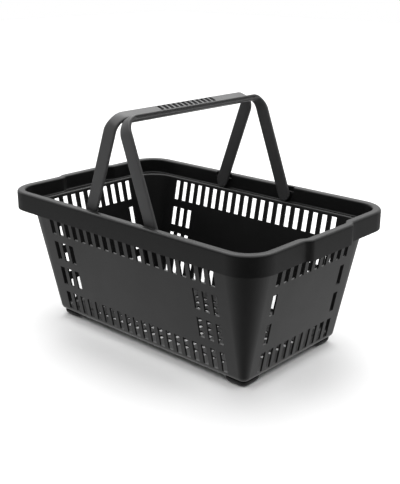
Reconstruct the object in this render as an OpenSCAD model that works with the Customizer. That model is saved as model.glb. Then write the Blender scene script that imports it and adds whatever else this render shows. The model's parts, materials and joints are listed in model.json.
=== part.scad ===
// Shopping basket: one moulded basket, two folding bail handles, four push-in feet.
// Millimetres, +Z up, +X along the long side, origin under the middle of the feet.

/* [Basket] */
// Length over the flat ends of the collar
rim_l = 464; // [420:2:520]
// Width over the long sides of the collar
rim_w = 298; // [270:2:340]
// Outer corner radius of the collar
rim_r = 42; // [36:1:54]
// Height from the underside of the floor to the underside of the collar
body_h = 163; // [130:1:200]
// Height of the collar
collar_h = 27; // [26:1:34]
// Slope of the walls, as run over rise
draft = 0.2; // [0.16:0.01:0.24]
// Corner radius of the body at the floor
floor_r = 9; // [8:0.5:14]
// Thickness of every moulded wall
wall_t = 2.4; // [2:0.1:3]

/* [Collar] */
// Width of the rolled lip on top of the collar
lip_w = 11.6; // [10:0.2:12.6]
// How far the collar hangs down below the ledge inside it
skirt_drop = 2.4; // [0.6:0.2:6]
// Distance from the outside of the collar in to the body
ledge_in = 17; // [16:0.5:20]
// How far the finger recess at each end stands out
bulge_out = 6; // [4:0.5:8]
// Width of the finger recess at each end
bulge_w = 100; // [80:2:130]

/* [Slots] */
// Spacing of the slots, centre to centre
slot_pitch = 16; // [14:0.5:18]
// Width of a slot
slot_w = 9; // [7:0.5:10]
// Height of a slot
slot_h = 29; // [22:1:32]
// Number of slot rows
row_count = 4; // [2:1:4]
// Least plain wall between the last slot and the corner
slot_keep = 13.5; // [13:0.5:24]
// Slots kept beside the solid middle panel of a long wall
side_slots = 3; // [1:1:4]

/* [Handles] */
// Distance of each pivot from the middle of the basket
pivot_x = 60; // [54:1:66]
// Width of the legs of a handle
strap_w = 20; // [16:0.5:21]
// Width of the grip bar
grip_w = 16; // [14:0.5:17]
// Room for fingers between a folded grip and the end wall
grip_room = 9.6; // [8:0.2:13]
// Thickness of the handle strap
strap_t = 5; // [4:0.2:5.4]
// Depth of the grip bar along the top of a handle
grip_t = 8.2; // [7:0.2:11]
// Radius of the pivot pins
pin_r = 4; // [3:0.25:4.5]
// Number of grip ribs on each handle
rib_count = 11; // [7:2:15]

/* [Feet] */
// Height of the feet below the floor
foot_h = 8; // [6:0.5:12]
// Side of each square foot pad
foot_w = 36; // [30:1:40]

/* [Hidden] */
eps = 0.01;
// How far a cutting solid runs past the face that it cuts
past = 1;
gap = 0.6;
pin_gap = 0.06;
floor_z = foot_h;
skirt_z = floor_z + body_h;
ledge_z = skirt_z + skirt_drop;
rim_z = skirt_z + collar_h;
wall_in = wall_t * sqrt(1 + draft * draft);
body_r = floor_r + body_h * draft;
// Centres of the body corners, the same at every height
body_cx = rim_l / 2 - ledge_in - body_r;
body_cy = rim_w / 2 - ledge_in - body_r;
// Centres of the collar corners
rim_cx = rim_l / 2 - rim_r;
rim_cy = rim_w / 2 - rim_r;
// Centres of the corners of the finger recess
bulge_r = lip_w + 3;
bulge_cx = rim_l / 2 + bulge_out - bulge_r;
bulge_cy = bulge_w / 2 - bulge_r;
// Rounding of the lip's outer edge and of the body's lower edge
lip_r = 3.6;
edge_r = 7;
// Thickness of the lip over the channel in the collar
lip_t = 3;
// Heights of the middle of the top row and of the bottom row of slots
row_top = skirt_z - 1.5 - slot_h / 2;
row_bottom = floor_z + 9 + slot_h / 2;
row_pitch = (row_top - row_bottom) / (row_count - 1);
// Slots along each long wall and each end wall, as many as fit and always even
long_slots = 2 * floor((body_cx - slot_keep - slot_w / 2) / slot_pitch + 0.5);
end_slots = 2 * floor((body_cy - slot_keep - slot_w / 2) / slot_pitch + 0.5);
pivot_z = ledge_z + wall_t + gap + strap_w / 2;
// Height of a handle above its pivots, so that it folds down inside the collar
bail_h = rim_l / 2 - lip_w - grip_room - pivot_x;
// Half the outside width of a handle, and the radius of its bends, which stay clear of the collar's corners
bail_y = rim_w / 2 - lip_w - gap;
bend_room = 7.4;
bail_r = rim_r - lip_w - bend_room;
// Gap between the two grips when they stand together
grip_gap = 0.4;
lean = asin((pivot_x - grip_gap / 2) / norm([bail_h, grip_w / 2])) - atan(grip_w / 2 / bail_h);
// Cuts across the grip, and the edge left uncut on its outer side
rib_pitch = 9.2;
rib_gap = 5;
rib_depth = 2.4;
rib_edge = 2.6;
// Groove along each side of the grip
groove_h = 3;
groove_d = 1.8;
groove_z = bail_h - 4.3;
// Blind bore in the collar, and the pin that turns in it
bore_l = lip_w - wall_t - 1;
pin_end = 0.8;
pin_l = bore_l + gap - pin_end;
boss_w = strap_w + 12;
notch_w = strap_w + 8;
notch_in = 3.4;
notch_h = 7;
// Feet: place, rounding, and the plug that snaps into the floor
foot_in = 3;
foot_x = body_cx - foot_w / 2 + floor_r - foot_in;
foot_y = body_cy - foot_w / 2 + floor_r - foot_in;
foot_r = 12;
foot_edge = 6;
foot_side = concat(round_under(foot_r, 0, foot_edge), [[foot_r, foot_h]]);
plug_r = 4;
plug_gap = 0.05;
plug_over = 0.6;
barb_out = 0.8;
barb_h = 1.4;
barb_lift = 0.1;

// Quarter arc from the side of a rounded edge to its top
function round_over(r, z, e, n = 6) =
    [for (i = [0:n]) [r - e + e * cos(90 * i / n), z - e + e * sin(90 * i / n)]];

// Quarter arc from the bottom of a rounded edge to its side
function round_under(r, z, e, n = 6) =
    [for (i = [0:n]) [r - e + e * sin(90 * i / n), z + e - e * cos(90 * i / n)]];

// Solid tub: one upright profile, given as [radius, height] pairs from the bottom up,
// carried round a rectangle whose corner centres stand at +-cx, +-cy
module tub(cx, cy, side) {
    bottom = side[0][1];
    top = side[len(side) - 1][1];
    for (sx = [-1, 1], sy = [-1, 1])
        translate([sx * cx, sy * cy, 0])
            rotate_extrude($fn = 72) polygon(concat([[0, bottom]], side, [[0, top]]));
    rotate([90, 0, 90]) translate([0, 0, -cx]) linear_extrude(2 * cx) band(cy, side);
    rotate([90, 0, 0]) translate([0, 0, -cy]) linear_extrude(2 * cy) band(cx, side);
}

// The cross-section of a tub through its middle
module band(half, side) {
    count = len(side);
    right = [for (p = side) [half + p[0], p[1]]];
    left = [for (i = [count - 1:-1:0]) [-half - side[i][0], side[i][1]]];
    polygon(concat(right, left));
}

// Straight-sided tub that follows the outside of the collar, set in by a distance
module collar_tub(inset, low, high, edge = 0) {
    top = edge > 0 ? round_over(rim_r - inset, high, edge) : [[rim_r - inset, high]];
    swell = edge > 0 ? round_over(bulge_r - inset, high, edge) : [[bulge_r - inset, high]];
    tub(rim_cx, rim_cy, concat([[rim_r - inset, low]], top));
    tub(bulge_cx, bulge_cy, concat([[bulge_r - inset, low]], swell));
}

// Tapered tub that follows the outside of the body, set in by a distance
module body_tub(inset, low, high) {
    start = floor_r + (low + edge_r - floor_z) * draft - inset;
    tub(body_cx, body_cy, concat(round_under(start, low, edge_r),
        [[floor_r + (high - floor_z) * draft - inset, high]]));
}

module basket_shell() {
    color([0.16, 0.16, 0.17])
    difference() {
        union() {
            body_tub(0, floor_z, ledge_z + eps);
            collar_tub(0, skirt_z, rim_z, lip_r);
        }
        body_tub(wall_in, floor_z + wall_t, ledge_z + wall_t + past);
        collar_tub(lip_w, ledge_z + wall_t, rim_z + past);
        skirt_channel();
        ledge_underside();
        wall_slots();
        floor_holes();
        leg_notches();
        pivot_holes();
        plug_holes();
    }
}

// Open channel under the lip, between the outer skirt and the inner wall of the collar
module skirt_channel() {
    difference() {
        collar_tub(wall_t, skirt_z - past, rim_z - lip_t);
        collar_tub(lip_w - wall_t, skirt_z - 2 * past, rim_z - lip_t + past);
        for (sx = [-1, 1])
            translate([sx * pivot_x, 0, ledge_z + collar_h / 2])
                cube([boss_w, rim_w, 2 * collar_h], center = true);
    }
}

// Space between the hanging edge of the collar and the body, up to the ledge
module ledge_underside() {
    difference() {
        collar_tub(wall_t, skirt_z - past, ledge_z);
        body_tub(0, floor_z, ledge_z + past);
    }
}

// Notches in the inner edge of the lip that let the handle legs stand up
module leg_notches() {
    for (sx = [-1, 1], sy = [-1, 1])
        translate([sx * pivot_x, sy * (rim_w / 2 - lip_w), rim_z])
            cube([notch_w, 2 * notch_in, 2 * notch_h], center = true);
}

// Rows of upright slots, where the top row runs on up to the ledge
module wall_slots() {
    for (row = [0:row_count - 1]) {
        rise = row == 0 ? skirt_drop : 0;
        z = row_top - row * row_pitch + rise / 2;
        whole = row == 0 || row == row_count - 1;
        for (i = [0:long_slots - 1])
            if (whole || i < side_slots || i >= long_slots - side_slots)
                translate([(i - (long_slots - 1) / 2) * slot_pitch, 0, z])
                    cube([slot_w, rim_w, slot_h + rise], center = true);
        for (i = [0:end_slots - 1])
            if (whole || i == 0 || i == end_slots - 1)
                translate([0, (i - (end_slots - 1) / 2) * slot_pitch, z])
                    cube([rim_l, slot_w, slot_h + rise], center = true);
    }
}

// Square holes on the same grid as the slots, left out over the feet
module floor_holes() {
    last_x = (long_slots - 1) / 2;
    last_y = (end_slots - 1) / 2;
    for (i = [-last_x:last_x], j = [-last_y:last_y])
        if (abs(i) * slot_pitch + slot_w / 2 < foot_x - foot_w / 2
            || abs(j) * slot_pitch + slot_w / 2 < foot_y - foot_w / 2)
            translate([i * slot_pitch, j * slot_pitch, floor_z + wall_t / 2])
                cube([slot_w, slot_w, 2 * wall_t], center = true);
}

module pivot_holes() {
    for (sx = [-1, 1], sy = [-1, 1])
        translate([sx * pivot_x, sy * (rim_w / 2 - lip_w), pivot_z])
            rotate([90, 0, 0]) cylinder(h = 2 * bore_l, r = pin_r + pin_gap, center = true, $fn = 48);
}

module plug_holes() {
    for (sx = [-1, 1], sy = [-1, 1])
        translate([sx * foot_x, sy * foot_y, floor_z - past])
            cylinder(h = wall_t + 2 * past, r = plug_r + plug_gap, $fn = 48);
}

// Handle standing straight up, with the pivot axis along Y through the origin
module bail(side) {
    difference() {
        intersection() {
            rotate([90, 0, 90]) linear_extrude(2 * strap_w, center = true) arch();
            rotate([90, 0, 0]) linear_extrude(3 * bail_y, center = true) leg_taper();
        }
        grip_cuts(side);
        grip_grooves();
    }
    for (end = [-1, 1])
        translate([0, end * bail_y, 0]) rotate([90 * end, 0, 0]) pivot_end();
}

// Handle seen along the pivot axis of its basket: a strap with a deeper bar on top
module arch() {
    difference() {
        arch_face(0);
        intersection() {
            translate([0, -eps]) arch_face(strap_t);
            translate([-bail_y, -past]) square([2 * bail_y, bail_h - grip_t + past]);
        }
    }
}

// Handle seen from the long side: full width up the legs, drawn in to the grip bar over the bends
module leg_taper() {
    leg = strap_w / 2;
    grip = grip_w / 2;
    polygon([[-leg, -past], [leg, -past], [leg, bail_h - bail_r], [grip, bail_h - grip_t], [grip, bail_h + past],
        [-grip, bail_h + past], [-grip, bail_h - grip_t], [-leg, bail_h - bail_r]]);
}

// Outline of a handle, set in by a distance
module arch_face(inset) {
    translate([-bail_y + inset, 0]) square([2 * (bail_y - inset), bail_h - bail_r]);
    translate([-bail_y + bail_r, 0]) square([2 * (bail_y - bail_r), bail_h - inset]);
    for (end = [-1, 1])
        translate([end * (bail_y - bail_r), bail_h - bail_r]) circle(bail_r - inset, $fn = 96);
}

// Comb of cuts over the grip, open towards the other handle
module grip_cuts(side) {
    for (i = [-rib_count / 2:rib_count / 2])
        translate([-side * (rib_edge + past) / 2, i * rib_pitch, bail_h])
            cube([grip_w - rib_edge + past, rib_gap, 2 * rib_depth], center = true);
}

// Round-ended groove along both sides of the grip bar
module grip_grooves() {
    for (face = [-1, 1])
        translate([face * grip_w / 2, 0, groove_z]) rotate([90, 0, 90])
            linear_extrude(2 * groove_d, center = true) {
                square([2 * (bail_y - bail_r), groove_h], center = true);
                for (end = [-1, 1])
                    translate([end * (bail_y - bail_r), 0]) circle(groove_h / 2, $fn = 32);
            }
}

// Round eye at the foot of a leg with its pin, drawn inwards along +Z
module pivot_end() {
    cylinder(h = strap_t, r = strap_w / 2, $fn = 64);
    translate([0, 0, -pin_l]) cylinder(h = pin_l + past, r = pin_r, $fn = 48);
}

module handle(side) {
    color([0.2, 0.2, 0.21])
    translate([side * pivot_x, 0, pivot_z]) rotate([0, -side * lean, 0]) bail(side);
}

module foot(sx, sy) {
    color([0.07, 0.07, 0.07])
    translate([sx * foot_x, sy * foot_y, 0]) {
        tub(foot_w / 2 - foot_r, foot_w / 2 - foot_r, foot_side);
        cylinder(h = foot_h + wall_t + plug_over, r = plug_r, $fn = 48);
        translate([0, 0, foot_h + wall_t + barb_lift])
            cylinder(h = barb_h, r1 = plug_r + barb_out, r2 = plug_r - barb_out / 2, $fn = 48);
    }
}

basket_shell();
handle(-1);  // handle_left
handle(1);  // handle_right
foot(-1, -1);  // foot_front_left
foot(1, -1);  // foot_front_right
foot(-1, 1);  // foot_rear_left
foot(1, 1);  // foot_rear_right
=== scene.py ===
"""Shopping basket with two folding handles, finished on its packed frame."""
import json
from math import atan, cos, pi, radians, sin, sqrt, tan

import bmesh
import bpy
import numpy as np
from bpy.props import FloatProperty, FloatVectorProperty, IntProperty, PointerProperty
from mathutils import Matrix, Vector


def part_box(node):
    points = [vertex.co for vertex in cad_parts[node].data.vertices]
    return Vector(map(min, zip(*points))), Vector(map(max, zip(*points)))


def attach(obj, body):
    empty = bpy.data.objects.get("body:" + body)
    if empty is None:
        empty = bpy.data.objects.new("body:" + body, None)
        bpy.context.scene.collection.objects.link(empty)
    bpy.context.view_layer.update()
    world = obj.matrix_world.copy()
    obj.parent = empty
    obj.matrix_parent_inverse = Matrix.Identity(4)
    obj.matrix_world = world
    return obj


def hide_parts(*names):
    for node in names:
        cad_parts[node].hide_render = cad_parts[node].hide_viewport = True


bl_info = {
    "name": "Shopping basket",
    "version": (1, 0, 0),
    "blender": (4, 5, 0),
    "location": "3D View > Sidebar > Basket",
    "description": "Builds a moulded shopping basket with folding handles on its packed frame",
    "category": "Object",
}

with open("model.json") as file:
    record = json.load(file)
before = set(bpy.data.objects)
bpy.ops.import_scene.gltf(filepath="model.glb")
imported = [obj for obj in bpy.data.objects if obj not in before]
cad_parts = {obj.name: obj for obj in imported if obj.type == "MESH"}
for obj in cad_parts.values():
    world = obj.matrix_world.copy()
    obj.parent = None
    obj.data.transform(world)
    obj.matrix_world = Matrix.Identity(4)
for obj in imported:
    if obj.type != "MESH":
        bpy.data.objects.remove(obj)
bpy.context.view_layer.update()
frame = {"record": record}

MM = 0.001
SHELL_LOW, SHELL_HIGH = (np.array(corner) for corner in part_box("basket_shell"))
HINGES = {joint["child"]: joint for joint in frame["record"]["behaviour"]["joints"]}
BAILS = (("handle_left", "left_bail", -1), ("handle_right", "right_bail", 1))
FEET = ("foot_front_left", "foot_front_right", "foot_rear_left", "foot_rear_right")

# Steps round each corner of a basket ring, and round each rounded edge
CORNER_STEPS = 14
ARC_STEPS = 6
# Points round a foot pad, its plug and a pivot pin
PAD_POINTS = 48
PLUG_POINTS = 32
PIN_POINTS = 28
# Half the length over which a leg notch fades out at each end
NOTCH_EASE = 1.0 * MM
# Half the width of the soft edges of the grip's groove and of the comb's uncut edge
CUT_EASE = 0.25 * MM
# The faces of the strap's outline
OUTER, SIDE, INNER = 0, 1, 2


def length(name, text, default, low=0.0):
    """A length in metres that the panel shows."""
    return FloatProperty(name=name, description=text, default=default, min=low, unit="LENGTH", precision=4)


class BasketSizes(bpy.types.PropertyGroup):
    """Sizes of the moulded basket."""
    wall: length("Wall", "Thickness of every moulded wall", 2.4 * MM)
    draft: FloatProperty(name="Draft", description="Slope of the walls, run over rise", default=0.2, min=0.1)
    collar: length("Collar", "Height of the collar", 27 * MM)
    bulge: length("Recess depth", "How far each finger recess stands out", 6 * MM)
    bulge_inner: length("Recess inner width", "Half width of the flat of a finger recess", 40 * MM)
    bulge_outer: length("Recess outer width", "Half width where a finger recess starts", 54 * MM)
    rim_radius: length("Collar corner", "Outer corner radius of the collar", 42 * MM)
    floor_radius: length("Body corner", "Corner radius of the body at the floor", 9 * MM)
    ledge: length("Ledge", "Distance from the outside of the collar in to the body", 17 * MM)
    skirt_drop: length("Skirt drop", "How far the collar hangs down below the ledge", 2.4 * MM)
    lip: length("Lip", "Width of the rolled lip", 11.6 * MM)
    lip_radius: length("Lip radius", "Rounding of the outside of the lip", 3.6 * MM)
    lip_inner_radius: length("Inner lip radius", "Rounding of the inside of the lip", 3.0 * MM)
    ledge_radius: length("Ledge radius", "Rounding where the ledge meets the wall", 2.8 * MM)
    floor_fillet: length("Floor fillet", "Rounding where the wall meets the floor", 7 * MM)
    notch_width: length("Notch width", "Width of the notch in the lip at each leg", 28 * MM)
    notch_depth: length("Notch depth", "How far a notch is cut into the lip", 3.4 * MM)
    notch_drop: length("Notch drop", "Height of a notch", 7 * MM)
    pitch: length("Slot pitch", "Spacing of the slots", 16 * MM)
    slot_width: length("Slot width", "Width of a slot", 9 * MM)
    slot_height: length("Slot height", "Height of a slot", 29 * MM)
    long_slots: IntProperty(name="Long slots", description="Slots along each long wall", default=20, min=6)
    end_slots: IntProperty(name="End slots", description="Slots along each end wall", default=10, min=4)
    side_slots: IntProperty(name="Side slots", description="Slots beside each solid panel", default=3, min=1)
    rows: IntProperty(name="Rows", description="Rows of slots", default=4, min=2)
    soften: length("Edge softening", "Rounding of the slot edges", 0.45 * MM)


class HandleSizes(bpy.types.PropertyGroup):
    """Sizes of the two handles."""
    leg_width: length("Leg width", "Width of the legs", 20 * MM)
    width: length("Grip width", "Width of the grip bar", 16 * MM)
    thickness: length("Strap thickness", "Thickness of the strap", 5 * MM)
    crown: length("Crown", "How far the outer face falls away to its edges", 0.55 * MM)
    edge: length("Edge rounding", "Rounding of the strap's edges", 1.2 * MM)
    grip_thickness: length("Grip thickness", "Depth of the grip bar", 8.2 * MM)
    groove_height: length("Groove height", "Height of the groove along each side of the grip bar", 3 * MM)
    groove_depth: length("Groove depth", "Depth of that groove", 1.8 * MM)
    groove_place: length("Groove place", "Depth of the groove's middle below the top of the bar", 4.3 * MM)
    corner: length("Corner", "Outside radius of the top corners", 23 * MM)
    rib_pitch: length("Rib pitch", "Spacing of the grip ribs", 9.2 * MM)
    rib_gap: length("Rib gap", "Width of the cut between two ribs", 5 * MM)
    rib_depth: length("Rib depth", "Depth of the cuts between the ribs", 2.4 * MM)
    rib_edge: length("Rib edge", "Edge left uncut on the outer side of the grip", 2.6 * MM)
    ribs: IntProperty(name="Ribs", description="Cuts in the comb of ribs", default=12, min=4)
    pin_radius: length("Pin radius", "Radius of the pivot pins", 4 * MM)
    pin_length: length("Pin length", "How far a pin stands out of its leg", 8 * MM)
    clearance: length("Clearance", "Gap between a leg and the collar", 0.6 * MM)


class FootSizes(bpy.types.PropertyGroup):
    """Sizes of the feet."""
    side: length("Side", "Side of a foot pad", 36 * MM)
    corner: length("Corner", "Corner radius of a foot pad", 12 * MM)
    rounding: length("Rounding", "Rounding of the bottom edge", 6 * MM)
    plug: length("Plug radius", "Radius of the push-in plug", 4 * MM)
    head: length("Plug head", "Height of the plug's head above the floor", 1.6 * MM)


def colour(name, text, default):
    """A linear colour that the panel shows."""
    return FloatVectorProperty(name=name, description=text, default=default, size=3, subtype="COLOR",
                               min=0.0, max=1.0)


class BasketColours(bpy.types.PropertyGroup):
    """Colours of the plastics, the rubber and the stage; the handle colour is paler than the basket colour as
    painted light on the handles.
    """
    shell: colour("Basket", "Moulded basket plastic", (0.003, 0.003, 0.0031))
    # Painted light: the handles get a paler grey than the basket plastic to stand in for the brighter light
    # on them; only part of this grey is their own colour.
    handle: colour("Handles", "Moulded handle plastic", (0.05, 0.05, 0.051))
    rubber: colour("Feet", "Foot rubber", (0.004, 0.004, 0.004))
    dust: colour("Dust", "Dust and scuffs on the plastic", (0.05, 0.05, 0.049))
    floor: colour("Floor", "Studio floor", (0.9, 0.9, 0.9))


class StageSizes(bpy.types.PropertyGroup):
    """Camera and lights."""
    azimuth: FloatProperty(name="Azimuth", description="Turn of the camera round the basket",
                           default=radians(42.65), subtype="ANGLE")
    elevation: FloatProperty(name="Elevation", description="Height angle of the camera",
                             default=radians(18.5), subtype="ANGLE")
    distance: length("Distance", "Camera to target", 1.183)
    target_height: length("Target height", "Height of the point looked at", 0.131)
    target_right: length("Target right", "Sideways shift of the point looked at", 0.0115)
    lens: FloatProperty(name="Lens", description="Focal length in millimetres", default=61.7, min=10.0)
    sky: FloatProperty(name="Sky", description="Strength of the even light from above", default=3.3, min=0.0)
    lamp: FloatProperty(name="Lamp", description="Power of the square lamp in watts", default=9.0, min=0.0)
    lamp_place: FloatVectorProperty(name="Lamp place", description="Where the square lamp hangs",
                                    default=(-0.62, 0.68, 1.5), subtype="TRANSLATION")
    lamp_size: FloatVectorProperty(name="Lamp size", description="Length and width of the lamp",
                                   default=(1.8, 1.2), size=2)


# ---------------------------------------------------------------- node maths

class Socket:
    """A shader output that takes part in Python expressions; each operator adds a Math node."""

    def __init__(self, shader, output):
        self.shader = shader
        self.output = output

    def _math(self, operation, *values):
        return self.shader.node("ShaderNodeMath", {"operation": operation}, dict(enumerate(values)))

    def __add__(self, other):
        return self._math("ADD", self, other)

    def __sub__(self, other):
        return self._math("SUBTRACT", self, other)

    def __mul__(self, other):
        return self._math("MULTIPLY", self, other)

    __radd__ = __add__


class Shader:
    """The nodes of a material or a world."""

    def __init__(self, owner, surface="Principled BSDF"):
        owner.use_nodes = True
        self.owner = owner
        self.nodes = owner.node_tree.nodes
        self.links = owner.node_tree.links
        self.surface = self.nodes[surface]

    def node(self, kind, settings, sockets, output=0):
        """Adds a node: its type, its settings, the values or links of its sockets, the output wanted."""
        made = self.nodes.new(kind)
        for key, value in settings.items():
            if key == "ramp":
                self._ramp(made.color_ramp, value)
            else:
                setattr(made, key, value)
        for key, value in sockets.items():
            self._feed(made.inputs[key], value)
        return Socket(self, made.outputs[output])

    def _ramp(self, ramp, stops):
        for place, _ in stops[2:]:
            ramp.elements.new(place)
        for element, (place, value) in zip(ramp.elements, sorted(stops)):
            element.position = place
            element.color = (value, value, value, 1.0)

    def _feed(self, target, value):
        if isinstance(value, Socket):
            self.links.new(value.output, target)
        else:
            target.default_value = value

    def set(self, **sockets):
        """Feeds sockets of the surface shader; an underscore stands for a space."""
        for key, value in sockets.items():
            self._feed(self.surface.inputs[key.replace("_", " ")], value)

    def place(self, scale=(1.0, 1.0, 1.0)):
        """Object coordinates, stretched by scale."""
        found = self.node("ShaderNodeTexCoord", {}, {}, "Object")
        return self.node("ShaderNodeMapping", {}, {"Vector": found, "Scale": scale})

    def noise(self, place, scale, detail=2.0, rough=0.5):
        return self.node("ShaderNodeTexNoise", {},
                         {"Vector": place, "Scale": scale, "Detail": detail, "Roughness": rough})

    def ramp(self, value, *stops):
        """Value through a ramp of (place, grey) stops."""
        return self.node("ShaderNodeValToRGB", {"ramp": stops}, {"Fac": value})

    def mix(self, factor, first, second):
        """Blend of two colours."""
        return self.node("ShaderNodeMix", {"data_type": "RGBA"}, {0: factor, 6: first, 7: second}, 2)

    def bump(self, height, strength, distance):
        return self.node("ShaderNodeBump", {}, {"Height": height, "Strength": strength, "Distance": distance})


def rgba(value, gain=1.0):
    return (value[0] * gain, value[1] * gain, value[2] * gain, 1.0)


# Darkest and palest flow mark, as shares of the base colour
FLOW_DARK, FLOW_PALE = 0.88, 1.14
# How much of the dust's colour shows where it lies thickest
DUST_SHARE = 0.1
PLASTIC_IOR = 1.49


def moulded_plastic(name, base, dust, roughness, grain, scuffs):
    """Moulded polypropylene: fine spark-eroded grain, faint flow marks, soft scuffs and settled dust."""
    shader = Shader(bpy.data.materials.new(name))
    place = shader.place()
    flow = shader.noise(shader.place((1.0, 1.0, 0.35)), scale=14.0, detail=3.0, rough=0.55)
    cloud = shader.noise(place, scale=38.0, detail=4.0, rough=0.6)
    stipple = shader.noise(place, scale=grain, rough=0.6)
    scratch = shader.noise(shader.place((9.0, 1.3, 5.0)), scale=60.0, rough=0.7)
    marks = shader.ramp(scratch, (0.66, 0.0), (0.74, 1.0)) * scuffs
    normal = shader.node("ShaderNodeNewGeometry", {}, {}, "Normal")
    up = shader.node("ShaderNodeSeparateXYZ", {}, {"Vector": normal}, "Z")
    level = shader.ramp(up, (0.55, 0.0), (0.98, 1.0))
    patches = shader.ramp(cloud, (0.35, 0.0), (0.75, 1.0))
    settled = level * patches * DUST_SHARE
    tint = shader.mix(flow, rgba(base, FLOW_DARK), rgba(base, FLOW_PALE))
    scuffed = shader.mix(marks, tint, rgba(dust))
    shader.set(Base_Color=shader.mix(settled, scuffed, rgba(dust, 0.8)),
               Roughness=roughness + (flow - 0.5) * 0.10 + (cloud - 0.5) * 0.08 + marks * 0.12,
               Normal=shader.bump(stipple + cloud * 0.5, strength=0.35, distance=0.12 * MM),
               IOR=PLASTIC_IOR)
    return shader.owner


def foot_rubber(name, base, dust):
    """Soft black rubber: dull, finely pitted, paler where it has rubbed on floors."""
    shader = Shader(bpy.data.materials.new(name))
    place = shader.place()
    pits = shader.noise(place, scale=1400.0, detail=3.0, rough=0.6)
    rub = shader.noise(place, scale=120.0, detail=3.0, rough=0.6)
    worn = shader.ramp(rub, (0.5, 0.0), (0.72, 1.0)) * 0.35
    shader.set(Base_Color=shader.mix(worn, rgba(base), rgba(dust, 0.4)),
               Roughness=0.72 + (rub - 0.5) * 0.2,
               Normal=shader.bump(pits, strength=0.4, distance=0.2 * MM))
    return shader.owner


# ---------------------------------------------------------------- meshes

def add_piece(name, points, faces, material, body):
    """Makes a mesh object with its place in its mesh, and hangs it on a body."""
    mesh = bpy.data.meshes.new(name)
    mesh.from_pydata(points.tolist(), [], faces)
    mesh.polygons.foreach_set("use_smooth", np.ones(len(mesh.polygons), bool))
    mesh.materials.append(material)
    mesh.update()
    piece = bpy.data.objects.new(name, mesh)
    bpy.context.scene.collection.objects.link(piece)
    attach(piece, body)
    return piece


def merge_and_face_out(piece):
    """Merges doubled points, then turns every closed surface to face outwards."""
    mesh = bmesh.new()
    mesh.from_mesh(piece.data)
    bmesh.ops.remove_doubles(mesh, verts=mesh.verts, dist=0.01 * MM)
    bmesh.ops.recalc_face_normals(mesh, faces=mesh.faces)
    mesh.to_mesh(piece.data)
    mesh.free()
    piece.data.set_sharp_from_angle(angle=radians(38))


def grid_faces(rows, columns, wrap):
    """Quads of a grid of rows by columns points; wrap joins the last column to the first."""
    low = np.arange(columns if wrap else columns - 1)
    high = (low + 1) % columns
    start = np.arange(rows - 1)[:, None] * columns
    return np.stack([start + low, start + high, start + columns + high, start + columns + low], axis=-1)


def smoothstep(value, low, high):
    """0 below low, 1 above high, and 3t^2 - 2t^3 between."""
    t = np.clip((value - low) / (high - low), 0.0, 1.0)
    return t * t * (3.0 - 2.0 * t)


def tube_faces(rows, columns):
    """Quads of a stack of closed rings, and one face over each end."""
    faces = [tuple(quad) for quad in grid_faces(rows, columns, True).reshape(-1, 4)]
    last = (rows - 1) * columns
    faces.append(tuple(range(columns - 1, -1, -1)))
    faces.append(tuple(range(last, last + columns)))
    return faces


def lathe(profile, centre, axis, segments):
    """Surface of revolution: each (radius, height) of the profile goes round the axis, with closed ends."""
    axis = np.array(axis, float)
    side = np.cross(axis, (0.0, 0.0, 1.0) if abs(axis[2]) < 0.9 else (1.0, 0.0, 0.0))
    side /= np.linalg.norm(side)
    other = np.cross(axis, side)
    turn = np.linspace(0.0, 2.0 * pi, segments, endpoint=False)
    spokes = np.cos(turn)[:, None] * side + np.sin(turn)[:, None] * other
    profile = np.array(profile)
    points = profile[:, 0, None, None] * spokes + profile[:, 1, None, None] * axis + np.array(centre)
    return points.reshape(-1, 3), tube_faces(len(profile), segments)


def join_parts(*parts):
    """One list of points and faces out of several."""
    points = []
    faces = []
    offset = 0
    for part_points, part_faces in parts:
        points.append(part_points)
        faces += [tuple(int(i) + offset for i in face) for face in part_faces]
        offset += len(part_points)
    return np.concatenate(points), faces


# ---------------------------------------------------------------- basket shell

def turned(x, y, quarters):
    """Points turned about the middle by quarter turns."""
    for _ in range(quarters):
        x, y = -y, x
    return np.column_stack([x, y])


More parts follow.
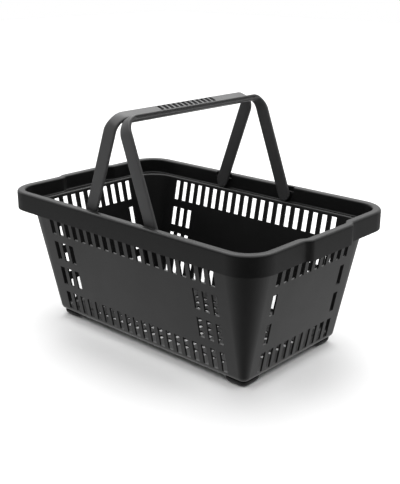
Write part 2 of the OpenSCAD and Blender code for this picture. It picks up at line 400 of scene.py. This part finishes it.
class ShellPlan:
    """Lines and centres that every ring of the basket shell shares."""

    def __init__(self, sizes):
        self.sizes = sizes
        self.rim_z = SHELL_HIGH[2]
        self.floor_z = SHELL_LOW[2]
        self.skirt_z = self.rim_z - sizes.collar
        self.ledge_z = self.skirt_z + sizes.skirt_drop
        self.half_l = SHELL_HIGH[0] - sizes.bulge
        self.half_w = SHELL_HIGH[1]
        self.body_radius = sizes.floor_radius + (self.skirt_z - self.floor_z) * sizes.draft
        self.body_cx = self.half_l - sizes.ledge - self.body_radius
        self.body_cy = self.half_w - sizes.ledge - self.body_radius
        self.rim_cx = self.half_l - sizes.rim_radius
        self.rim_cy = self.half_w - sizes.rim_radius
        self.pivot_x = max(joint["pos_m"][0] for joint in HINGES.values())
        self.wall_in = sizes.wall * sqrt(1.0 + sizes.draft ** 2)
        reach = sizes.notch_width / 2
        ends = (self.pivot_x - reach, self.pivot_x + reach)
        notch = [end + shift for end in ends for shift in (-NOTCH_EASE, NOTCH_EASE)]
        steps = np.linspace(sizes.bulge_inner, sizes.bulge_outer, 8)
        self.xs = self.lines(sizes.long_slots, notch, self.body_cx)
        self.ys = self.lines(sizes.end_slots, steps, self.body_cy)

    def lines(self, count, extra, end):
        """Slot edges, ends, and the extra lines that keep clear of a slot edge, both ways from the middle."""
        clear = 0.9 * MM
        centres = (np.arange(count) - (count - 1) / 2) * self.sizes.pitch
        edges = np.concatenate([centres - self.sizes.slot_width / 2, centres + self.sizes.slot_width / 2])
        positive = np.sort(edges[edges > 0])
        spare = [x for x in extra if np.min(np.abs(positive - x)) > clear]
        positive = np.sort(np.concatenate([positive, spare, [end]]))
        return np.concatenate([-positive[::-1], positive])

    def ring(self, cx, cy, radius, z):
        """Rounded rectangle: the shared lines on its four sides, and arcs between them."""
        xs = self.xs.copy()
        ys = self.ys.copy()
        xs[[0, -1]] = -cx, cx
        ys[[0, -1]] = -cy, cy
        arc = np.linspace(0.0, pi / 2, CORNER_STEPS + 1)[1:-1]
        parts = []
        for turn, (run, end, half) in enumerate(((xs, cx, cy), (ys, cy, cx)) * 2):
            parts.append(turned(run, np.full(len(run), -half - radius), turn))
            parts.append(turned(end + radius * np.sin(arc), -half - radius * np.cos(arc), turn))
        flat = np.concatenate(parts)
        return np.column_stack([flat, np.full(len(flat), z)])

    def collar_ring(self, inset, z, notched=False):
        """A ring of the collar, set in from its outside, with the finger recesses and the leg notches."""
        sizes = self.sizes
        ring = self.ring(self.rim_cx, self.rim_cy, sizes.rim_radius - inset, z)
        at_end = np.abs(ring[:, 0]) > self.rim_cx
        swell = 1.0 - smoothstep(np.abs(ring[:, 1]), sizes.bulge_inner, sizes.bulge_outer)
        ring[:, 0] += np.sign(ring[:, 0]) * sizes.bulge * swell * at_end
        if notched:
            off = np.abs(np.abs(ring[:, 0]) - self.pivot_x) - sizes.notch_width / 2
            fade = 1.01 * NOTCH_EASE
            cut = sizes.notch_depth * (1.0 - smoothstep(off, -fade, fade))
            limit = self.half_w - sizes.lip + cut
            at_side = np.abs(ring[:, 1]) > self.rim_cy
            side = np.maximum(np.abs(ring[:, 1]), limit)
            ring[:, 1] = np.where(at_side & (cut > 0), np.sign(ring[:, 1]) * side, ring[:, 1])
        return ring

    def wall_radius(self, z):
        """Corner radius of the inside of the wall at a height."""
        return self.sizes.floor_radius + (z - self.floor_z) * self.sizes.draft - self.wall_in

    def body_ring(self, radius, z):
        """A ring of the body, whose corner centres are the same at every height."""
        return self.ring(self.body_cx, self.body_cy, radius, z)


def arc_points(centre, radius, start, end, steps=ARC_STEPS):
    """Points (out, z) on an arc about a centre, from one angle to another in degrees."""
    angle = np.radians(np.linspace(start, end, steps + 1))
    return [(centre[0] + radius * cos(a), centre[1] + radius * sin(a)) for a in angle]


def shell_rings(plan):
    """Rings of one sheet: up the skirt, over the lip, in along the ledge and down to the floor.

    Also returns the number of the ring at the top of each row of slots."""
    sizes = plan.sizes
    notch_step = 0.5 * MM
    hollow = 1.4 * MM
    slot_gap = 1.5 * MM
    bottom_band = 9 * MM
    rings = []
    # Skirt and outer half of the lip: inset grows as r - r cos a while the height goes up as r sin a
    rings.append(plan.collar_ring(0.0, plan.skirt_z))
    for out, z in arc_points((-sizes.lip_radius, plan.rim_z - sizes.lip_radius), sizes.lip_radius, 0, 90):
        rings.append(plan.collar_ring(-out, z))
    # Inner half of the lip, with the leg notches
    inner = sizes.lip_inner_radius
    for out, z in arc_points((-sizes.lip + inner, plan.rim_z - inner), inner, 90, 180):
        rings.append(plan.collar_ring(-out, z, notched=True))
    notch_floor = plan.rim_z - sizes.notch_drop
    rings.append(plan.collar_ring(sizes.lip, notch_floor + notch_step, notched=True))
    rings.append(plan.collar_ring(sizes.lip, notch_floor - notch_step))
    # Foot of the inner wall, a small hollow fillet on to the ledge
    ledge_top = plan.ledge_z + sizes.wall
    for out, z in arc_points((-sizes.lip - hollow, ledge_top + hollow), hollow, 0, -90, 4):
        rings.append(plan.collar_ring(-out, z))
    # Rounded edge from the ledge down on to the sloping wall
    slope = atan(sizes.draft)
    sweep = 90.0 - np.degrees(slope)
    edge = sizes.ledge_radius
    reach = edge * tan(radians(sweep / 2))
    out_0 = plan.wall_radius(ledge_top)
    for out, z in arc_points((out_0 + reach, ledge_top - edge), edge, 90, 90 + sweep):
        rings.append(plan.body_ring(out, z))
    rows = []
    top = plan.ledge_z - slot_gap - reach * 0.5
    bottom = plan.floor_z + bottom_band
    first = plan.skirt_z - slot_gap
    pitch = (first - sizes.slot_height - bottom) / (sizes.rows - 1)
    for row in range(sizes.rows):
        high = first - row * pitch if row else top
        low = first - row * pitch - sizes.slot_height
        rings.append(plan.body_ring(plan.wall_radius(high), high))
        rows.append(len(rings) - 1)
        rings.append(plan.body_ring(plan.wall_radius(low), low))
    # Hollow fillet on to the floor
    floor_top = plan.floor_z + sizes.wall
    fillet = sizes.floor_fillet
    out_1 = plan.wall_radius(floor_top) - fillet * tan(radians(sweep / 2))
    for out, z in arc_points((out_1, floor_top + fillet), fillet, -np.degrees(slope), -90):
        rings.append(plan.body_ring(out, z))
    return np.stack(rings), rows


def slots_between(lines, count, sizes):
    """Whether the space after each line is part of a slot, and the number of the slot nearest to it."""
    place = (lines[:-1] + lines[1:]) / 2 / sizes.pitch + (count - 1) / 2
    index = np.round(place)
    inside = np.abs(place - index) * sizes.pitch < sizes.slot_width / 2
    return inside & (index >= 0) & (index < count), index


def slot_mask(plan, row):
    """Which columns of a row are cut: every slot in the first and last rows, only the outer ones between."""
    sizes = plan.sizes
    outer_row = row in (0, sizes.rows - 1)
    masks = []
    for lines, count, kept in ((plan.xs, sizes.long_slots, sizes.side_slots), (plan.ys, sizes.end_slots, 1)):
        inside, index = slots_between(lines, count, sizes)
        if not outer_row:
            inside &= (index < kept) | (index >= count - kept)
        masks += [inside, np.zeros(CORNER_STEPS, bool)]
    return np.concatenate(masks * 2)


def shell_mesh(plan):
    """The sheet of rings, with the slots left out, and the floor lattice inside the last ring."""
    rings, rows = shell_rings(plan)
    count = rings.shape[1]
    quads = grid_faces(len(rings), count, True)
    keep = np.ones(quads.shape[:2], bool)
    for row, start in enumerate(rows):
        keep[start] = ~slot_mask(plan, row)
    faces = [tuple(quad) for quad in quads[keep]]
    points = rings.reshape(-1, 3)
    floor_points, floor_faces = floor_lattice(plan, (len(rings) - 1) * count, len(points), points[-1, 2])
    return np.concatenate([points, floor_points]), faces + floor_faces


def floor_lattice(plan, ring_start, offset, z):
    """Flat grid of the shared lines with square holes, except over the feet, joined to the last ring."""
    sizes = plan.sizes
    nx, ny = len(plan.xs), len(plan.ys)
    grid_x, grid_y = np.meshgrid(plan.xs, plan.ys)
    points = np.column_stack([grid_x.ravel(), grid_y.ravel(), np.full(nx * ny, z)])
    foot_low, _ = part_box("foot_rear_right")
    open_x, over_x = floor_holes(plan.xs, sizes.long_slots, foot_low[0], sizes)
    open_y, over_y = floor_holes(plan.ys, sizes.end_slots, foot_low[1], sizes)
    solid = ~(open_x[None, :] & open_y[:, None]) | (over_x[None, :] & over_y[:, None])
    faces = [tuple(quad) for quad in grid_faces(ny, nx, False)[solid] + offset]
    # Strip from the edge of the grid out to the ring, side by side, then a fan in each corner
    sides = (
        offset + np.arange(nx),
        offset + np.arange(ny) * nx + nx - 1,
        offset + (ny - 1) * nx + np.arange(nx)[::-1],
        offset + np.arange(ny)[::-1] * nx,
    )
    total = 2 * (nx + ny) + 4 * (CORNER_STEPS - 1)
    start = 0
    for side in sides:
        last = start + len(side) - 1
        outer = ring_start + np.arange(start, last + 1)
        fan = ring_start + (last + np.arange(CORNER_STEPS + 1)) % total
        faces += [tuple(quad) for quad in np.column_stack([outer[:-1], outer[1:], side[1:], side[:-1]])]
        faces += [(fan[i], fan[i + 1], side[-1]) for i in range(CORNER_STEPS)]
        start = last + CORNER_STEPS
    return points, faces


def floor_holes(lines, count, foot_edge, sizes):
    """Whether the space after each line is part of a hole, and whether that hole reaches over a foot."""
    inside, index = slots_between(lines, count, sizes)
    far_edge = np.abs((index - (count - 1) / 2) * sizes.pitch) + sizes.slot_width / 2
    return inside, far_edge > foot_edge


class BASKET_OT_shell(bpy.types.Operator):
    """Build the moulded basket: collar, ledge, slotted walls and floor lattice in one sheet"""
    bl_idname = "basket.shell"
    bl_label = "Moulded basket"

    def execute(self, context):
        sizes = context.scene.basket_sizes
        colours = context.scene.basket_colours
        plan = ShellPlan(sizes)
        material = moulded_plastic("basket_plastic", colours.shell, colours.dust,
                                   roughness=0.40, grain=1900.0, scuffs=0.10)
        points, faces = shell_mesh(plan)
        shell = add_piece("moulded_basket", points, faces, material, "basket")
        wall = shell.modifiers.new("wall", "SOLIDIFY")
        wall.thickness = sizes.wall
        wall.offset = -1.0
        wall.use_even_offset = True
        soft = shell.modifiers.new("soft_edges", "BEVEL")
        soft.width = sizes.soften
        soft.segments = 2
        soft.limit_method = "ANGLE"
        soft.angle_limit = radians(50)
        shell.modifiers.new("even_shading", "WEIGHTED_NORMAL")
        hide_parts("basket_shell")
        return {"FINISHED"}


# ---------------------------------------------------------------- handles

def bail_frame(node, body, side, sizes):
    """Pivot, up direction, across direction and height of a handle in its rest lean."""
    hinge = HINGES[body]
    lean = radians(hinge["range_deg"][1] - 90.0)
    pivot = np.array(hinge["pos_m"])
    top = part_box(node)[1][2]
    height = (top - pivot[2] - sizes.width / 2 * sin(lean)) / cos(lean)
    up = np.array([-side * sin(lean), 0.0, cos(lean)])
    across = np.array([cos(lean), 0.0, side * sin(lean)])
    return pivot, up, across, height


def bail_path(half, height, sizes):
    """Outer line of the arch from one foot to the other, as (y, h) with its outward direction.

    Straight leg, quarter circle, straight top, quarter circle, straight leg."""
    radius = sizes.corner
    eye = sizes.leg_width / 2
    foot = -eye * np.cos(np.linspace(0.0, pi / 2, 9))
    leg = np.concatenate([foot[:-1], np.linspace(0.0, height - radius, 9)])
    turn = np.linspace(0.0, pi / 2, 19)[1:-1]
    top = grip_stations(half - radius, sizes)
    y = np.concatenate([np.full(len(leg), -half), -half + radius - radius * np.cos(turn)])
    h = np.concatenate([leg, height - radius + radius * np.sin(turn)])
    ny = np.concatenate([np.full(len(leg), -1.0), -np.cos(turn)])
    nh = np.concatenate([np.zeros(len(leg)), np.sin(turn)])
    ones = np.ones(len(top))
    return (np.concatenate([y, top, -y[::-1]]), np.concatenate([h, height * ones, h[::-1]]),
            np.concatenate([ny, 0.0 * ones, -ny[::-1]]), np.concatenate([nh, ones, nh[::-1]]))


def grip_stations(end, sizes):
    """Places along the straight top: its two ends, and both sides of every cut of the comb."""
    centres = (np.arange(sizes.ribs) - (sizes.ribs - 1) / 2) * sizes.rib_pitch
    half = sizes.rib_gap / 2
    ease = np.array([-0.5, -0.15, 0.15, 0.5]) * MM
    cuts = (centres[:, None] + np.concatenate([ease - half, ease + half])).ravel()
    plain = np.linspace(end, cuts[-1] + 4 * MM, 5)
    return np.concatenate([-plain, cuts, plain[::-1]])


def rib_cut(y, sizes):
    """Depth of the comb at each place: full between ribs, none on them and beyond the comb."""
    place = y / sizes.rib_pitch + (sizes.ribs - 1) / 2
    index = np.clip(np.round(place), 0, sizes.ribs - 1)
    off = np.abs(place - index) * sizes.rib_pitch - sizes.rib_gap / 2
    return sizes.rib_depth * (1.0 - smoothstep(off, -0.5 * MM, 0.5 * MM))


def strap_profile(sizes):
    """Outline of the strap as (across, depth, face, share of the groove), from the middle of the outer face
    round to the middle of the inner face and back.

    Depths are from the outer face on the outer half and sides, and from the inner face on the inner half.
    A side point's depth is that of the grip bar."""
    edge = sizes.width / 2
    r = sizes.edge
    stop = edge - sizes.rib_edge
    low = sizes.groove_place - sizes.groove_height / 2
    high = sizes.groove_place + sizes.groove_height / 2
    soft = CUT_EASE
    brink = 0.12
    bends = (0.0, 0.5, 1.05, pi / 2)
    across = [0.0, 0.3 * stop, 0.6 * stop, 0.85 * stop, stop - soft, stop + soft, edge - r]
    rows = [(a, sizes.crown * (a / edge) ** 2, OUTER, 0.0) for a in across]
    rows += [(edge - r + r * sin(t), sizes.crown + r - r * cos(t), OUTER, 0.0) for t in bends[1:]]
    rows += [(edge, low - soft, SIDE, 0.0), (edge, low, SIDE, brink), (edge, low + soft, SIDE, 1.0),
             (edge, high - soft, SIDE, 1.0), (edge, high, SIDE, brink), (edge, high + soft, SIDE, 0.0)]
    rows += [(edge - r + r * cos(t), r * sin(t) - r, INNER, 0.0) for t in bends[:-1]]
    rows += [(a, 0.0, INNER, 0.0) for a in (edge - r, 0.5 * edge, 0.0)]
    half = np.array(rows)
    other = half[-2:0:-1] * np.array([-1.0, 1.0, 1.0, 1.0])
    return np.concatenate([half, other])


def bail_mesh(pivot, up, across, height, half, outward, sizes):
    """Strap profile carried along the arch. Its width follows a half circle round each eye.

    Along the top it is a deeper bar with a flat underside: at an angle t from the top of a bend of radius R
    the bar is R - (R - bar) / cos t deep, and never less than the strap. Its width draws in evenly with
    height, from the legs' at R below the top to the grip's at the underside of the bar. The comb is cut
    into the outer face as far as the uncut edge, and the groove into both sides."""
    y, h, ny, nh = bail_path(half, height, sizes)
    profile = strap_profile(sizes)
    radius = sizes.corner
    eye = sizes.leg_width / 2
    narrow = np.where(h < 0.0, np.sqrt(np.clip(1.0 - (h / eye) ** 2, 0.0, 1.0)), 1.0)
    flat = radius - (radius - sizes.grip_thickness) / np.maximum(nh, 0.5)
    depth = np.maximum(flat, sizes.thickness)
    groove = 1.0 - smoothstep(1.0 - nh, 0.0, 0.04)
    face = profile[:, 2]
    share = (depth / sizes.grip_thickness)[:, None]
    b = np.where(face == INNER, depth[:, None] + profile[:, 1], profile[:, 1])
    b = np.where(face == SIDE, profile[:, 1] * share, b)
    tuck = sizes.groove_depth * profile[:, 3] * groove[:, None]
    stop = sizes.width / 2 - sizes.rib_edge
    hair = 0.01 * MM
    open_side = 1.0 - smoothstep(outward * profile[:, 0], stop - CUT_EASE - hair, stop + CUT_EASE - hair)
    cut = np.where(nh > 1.0 - 1e-9, rib_cut(y, sizes), 0.0)[:, None] * open_side
    b = np.maximum(b, cut)
    side = y[:, None] - b * ny[:, None]
    rise = h[:, None] - b * nh[:, None]
    drawn_in = np.clip((rise - height + radius) / (radius - sizes.grip_thickness), 0.0, 1.0)
    widen = sizes.leg_width / sizes.width * (1.0 - drawn_in) + drawn_in
    a = (profile[:, 0] - np.sign(profile[:, 0]) * tuck) * narrow[:, None] * widen
    along = np.array([0.0, 1.0, 0.0])
    points = pivot + a[..., None] * across + side[..., None] * along + rise[..., None] * up
    quads = grid_faces(len(y), len(profile), True).reshape(-1, 4)
    return points.reshape(-1, 3), [tuple(quad) for quad in quads]


class BASKET_OT_handles(bpy.types.Operator):
    """Build the two folding handles with their grip ribs and pivot pins"""
    bl_idname = "basket.handles"
    bl_label = "Handles"

    def execute(self, context):
        sizes = context.scene.handle_sizes
        shell = context.scene.basket_sizes
        colours = context.scene.basket_colours
        # The handle colour carries painted light: it is paler than the basket plastic to stand in for the
        # light falling on the handles.
        material = moulded_plastic("handle_plastic", colours.handle, colours.dust,
                                   roughness=0.36, grain=2200.0, scuffs=0.12)
        half = SHELL_HIGH[1] - shell.lip - sizes.clearance
        tip = half + sizes.pin_length
        root = half - 1 * MM
        chamfer = 0.6 * MM
        r = sizes.pin_radius
        stub = [(r, root), (r, tip - chamfer), (r - chamfer, tip)]
        for node, body, side in BAILS:
            pivot, up, across, height = bail_frame(node, body, side, sizes)
            arch = bail_mesh(pivot, up, across, height, half, side, sizes)
            pins = [lathe(stub, pivot, (0.0, way, 0.0), PIN_POINTS) for way in (-1.0, 1.0)]
            points, faces = join_parts(arch, *pins)
            piece = add_piece(node + "_moulding", points, faces, material, body)
            merge_and_face_out(piece)
            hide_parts(node)
        return {"FINISHED"}


# ---------------------------------------------------------------- feet

def foot_mesh(low, high, floor_top, sizes):
    """Rounded pad and its plug. The pad is a stack of rings of the curve (cos^p, sin^p), a rounded square,
    drawn in along a quarter circle at the bottom edge. The plug has a domed head above the floor."""
    centre = (low + high) / 2
    top = SHELL_LOW[2]
    half = sizes.side / 2
    chamfer = 1.2 * MM
    power = 0.46
    turn = np.linspace(0.0, pi / 2, ARC_STEPS * 2 + 1)
    drawn_in = sizes.rounding * (1.0 - np.sin(turn))
    insets = np.concatenate([[half * 0.96, half * 0.6], drawn_in, [0.0, chamfer]])
    heights = np.concatenate([[0.0, 0.0], sizes.rounding * (1.0 - np.cos(turn)), [top - chamfer / 2, top]])
    angle = np.linspace(0.0, 2.0 * pi, PAD_POINTS, endpoint=False)
    circle = np.column_stack([np.cos(angle), np.sin(angle)])
    square = np.sign(circle) * np.abs(circle) ** power
    rings = (half - insets)[:, None, None] * square + centre[:2]
    levels = np.broadcast_to(heights[:, None, None], (len(heights), PAD_POINTS, 1))
    pad = np.concatenate([rings, levels], axis=2).reshape(-1, 3)
    r = sizes.plug
    dome = [(r, top - 0.5 * MM), (r, floor_top), (r + 0.8 * MM, floor_top + 0.2 * MM),
            (r + 0.6 * MM, floor_top + 0.8 * MM), (r - 0.6 * MM, floor_top + 1.3 * MM),
            (r - 2.4 * MM, floor_top + sizes.head)]
    plug = lathe(dome, (centre[0], centre[1], 0.0), (0.0, 0.0, 1.0), PLUG_POINTS)
    return join_parts((pad, tube_faces(len(heights), PAD_POINTS)), plug)


class BASKET_OT_feet(bpy.types.Operator):
    """Build the four push-in rubber feet"""
    bl_idname = "basket.feet"
    bl_label = "Feet"

    def execute(self, context):
        sizes = context.scene.foot_sizes
        colours = context.scene.basket_colours
        material = foot_rubber("foot_rubber", colours.rubber, colours.dust)
        floor_top = SHELL_LOW[2] + context.scene.basket_sizes.wall
        for node in FEET:
            low, high = (np.array(corner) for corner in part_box(node))
            points, faces = foot_mesh(low, high, floor_top, sizes)
            piece = add_piece(node + "_rubber", points, faces, material, "basket")
            merge_and_face_out(piece)
            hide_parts(node)
        return {"FINISHED"}


# ---------------------------------------------------------------- stage

def soft_light(name, place, target, size, power):
    """A square area light aimed at a point."""
    light = bpy.data.lights.new(name, "AREA")
    light.shape = "RECTANGLE"
    light.size, light.size_y = size
    light.energy = power
    lamp = bpy.data.objects.new(name, light)
    lamp.location = place
    lamp.rotation_euler = (Vector(target) - Vector(place)).to_track_quat("-Z", "Y").to_euler()
    bpy.context.scene.collection.objects.link(lamp)


class BASKET_OT_stage(bpy.types.Operator):
    """Set up the pale floor, the studio lights and the camera"""
    bl_idname = "basket.stage"
    bl_label = "Stage"

    def execute(self, context):
        stage = context.scene.stage_sizes
        colours = context.scene.basket_colours
        self.floor(rgba(colours.floor))
        context.scene.world = bpy.data.worlds.new("studio")
        context.scene.view_settings.view_transform = "Standard"
        self.surround(context.scene.world, stage)
        self.sky(stage.sky)
        middle = (0.0, 0.0, 0.15)
        soft_light("overhead", stage.lamp_place, middle, stage.lamp_size, stage.lamp)
        self.camera(context, stage)
        return {"FINISHED"}

    def sky(self, strength):
        """Even soft light from straight above."""
        light = bpy.data.lights.new("sky", "SUN")
        light.energy = strength
        light.angle = radians(100.0)
        lamp = bpy.data.objects.new("sky", light)
        bpy.context.scene.collection.objects.link(lamp)

    def surround(self, world, stage):
        """White studio seen behind the basket.

        For its light it is bright behind and dim towards the front. Below the horizon it fades from a
        bright table nearby to the dark room beyond its front edge."""
        shader = Shader(world, "Background")
        way = shader.node("ShaderNodeTexCoord", {}, {}, "Generated")
        front = (sin(stage.azimuth), -cos(stage.azimuth), 0.0)
        facing = shader.node("ShaderNodeVectorMath", {"operation": "DOT_PRODUCT"}, {0: way, 1: front},
                             "Value")
        height = shader.node("ShaderNodeSeparateXYZ", {}, {"Vector": way}, "Z")
        above = shader.ramp(facing * 0.5 + 0.5, (0.0, 1.0), (0.4, 0.55), (0.7, 0.15), (1.0, 0.04))
        near = shader.ramp(height * -1.0, (0.16, 0.1), (0.3, 0.34), (0.48, 0.84), (0.7, 0.8))
        side = shader.ramp(facing, (0.1, 1.0), (0.4, 0.7), (0.7, 0.22), (0.9, 0.06))
        is_below = shader.ramp(height * -1.0 + 0.5, (0.49, 0.0), (0.56, 1.0))
        shade = shader.mix(is_below, above, near * side)
        seen = shader.node("ShaderNodeLightPath", {}, {}, "Is Camera Ray")
        shader.set(Color=shader.mix(seen, shade, (1.0, 1.0, 1.0, 1.0)), Strength=1.0)

    def floor(self, tint):
        """A large plain pale floor."""
        reach = 6.0
        points = np.array([(x, y, 0.0) for y in (-reach, reach) for x in (-reach, 0.0, reach)])
        faces = [(0, 1, 4, 3), (1, 2, 5, 4)]
        mesh = bpy.data.meshes.new("studio_floor")
        mesh.from_pydata(points.tolist(), [], faces)
        shader = Shader(bpy.data.materials.new("studio_floor"))
        speck = shader.noise(shader.place(), scale=3.0)
        shader.set(Base_Color=shader.mix(speck, tint, rgba(tint, 0.985)), Roughness=0.9)
        mesh.materials.append(shader.owner)
        floor = bpy.data.objects.new("studio_floor", mesh)
        floor.visible_glossy = False
        bpy.context.scene.collection.objects.link(floor)

    def camera(self, context, stage):
        """Camera on its azimuth and elevation about the target."""
        turn, rise = stage.azimuth, stage.elevation
        right = Vector((cos(turn), sin(turn), 0.0))
        target = right * stage.target_right + Vector((0.0, 0.0, stage.target_height))
        back = Vector((sin(turn) * cos(rise), -cos(turn) * cos(rise), sin(rise)))
        data = bpy.data.cameras.new("camera")
        data.lens = stage.lens
        data.clip_start = 0.05
        camera = bpy.data.objects.new("camera", data)
        camera.location = target + back * stage.distance
        camera.rotation_euler = (-back).to_track_quat("-Z", "Y").to_euler()
        context.scene.collection.objects.link(camera)
        context.scene.camera = camera


class BASKET_PT_panel(bpy.types.Panel):
    """Buttons and sizes of the basket"""
    bl_idname = "BASKET_PT_panel"
    bl_label = "Shopping basket"
    bl_space_type = "VIEW_3D"
    bl_region_type = "UI"
    bl_category = "Basket"

    def draw(self, context):
        for operator in OPERATORS:
            self.layout.operator(operator.bl_idname)
        for owner, group in GROUPS.items():
            box = self.layout.box()
            box.label(text=group.__doc__)
            for key in group.__annotations__:
                box.prop(getattr(context.scene, owner), key)


OPERATORS = (BASKET_OT_shell, BASKET_OT_handles, BASKET_OT_feet, BASKET_OT_stage)
GROUPS = {
    "basket_sizes": BasketSizes,
    "handle_sizes": HandleSizes,
    "foot_sizes": FootSizes,
    "basket_colours": BasketColours,
    "stage_sizes": StageSizes,
}


def register():
    for owner, group in GROUPS.items():
        bpy.utils.register_class(group)
        setattr(bpy.types.Scene, owner, PointerProperty(type=group))
    for cls in OPERATORS + (BASKET_PT_panel,):
        bpy.utils.register_class(cls)


def unregister():
    for cls in (BASKET_PT_panel,) + OPERATORS[::-1]:
        bpy.utils.unregister_class(cls)
    for owner, group in GROUPS.items():
        delattr(bpy.types.Scene, owner)
        bpy.utils.unregister_class(group)


def main():
    register()
    bpy.ops.basket.shell()
    bpy.ops.basket.handles()
    bpy.ops.basket.feet()
    bpy.ops.basket.stage()


if __name__ == "__main__":
    main()
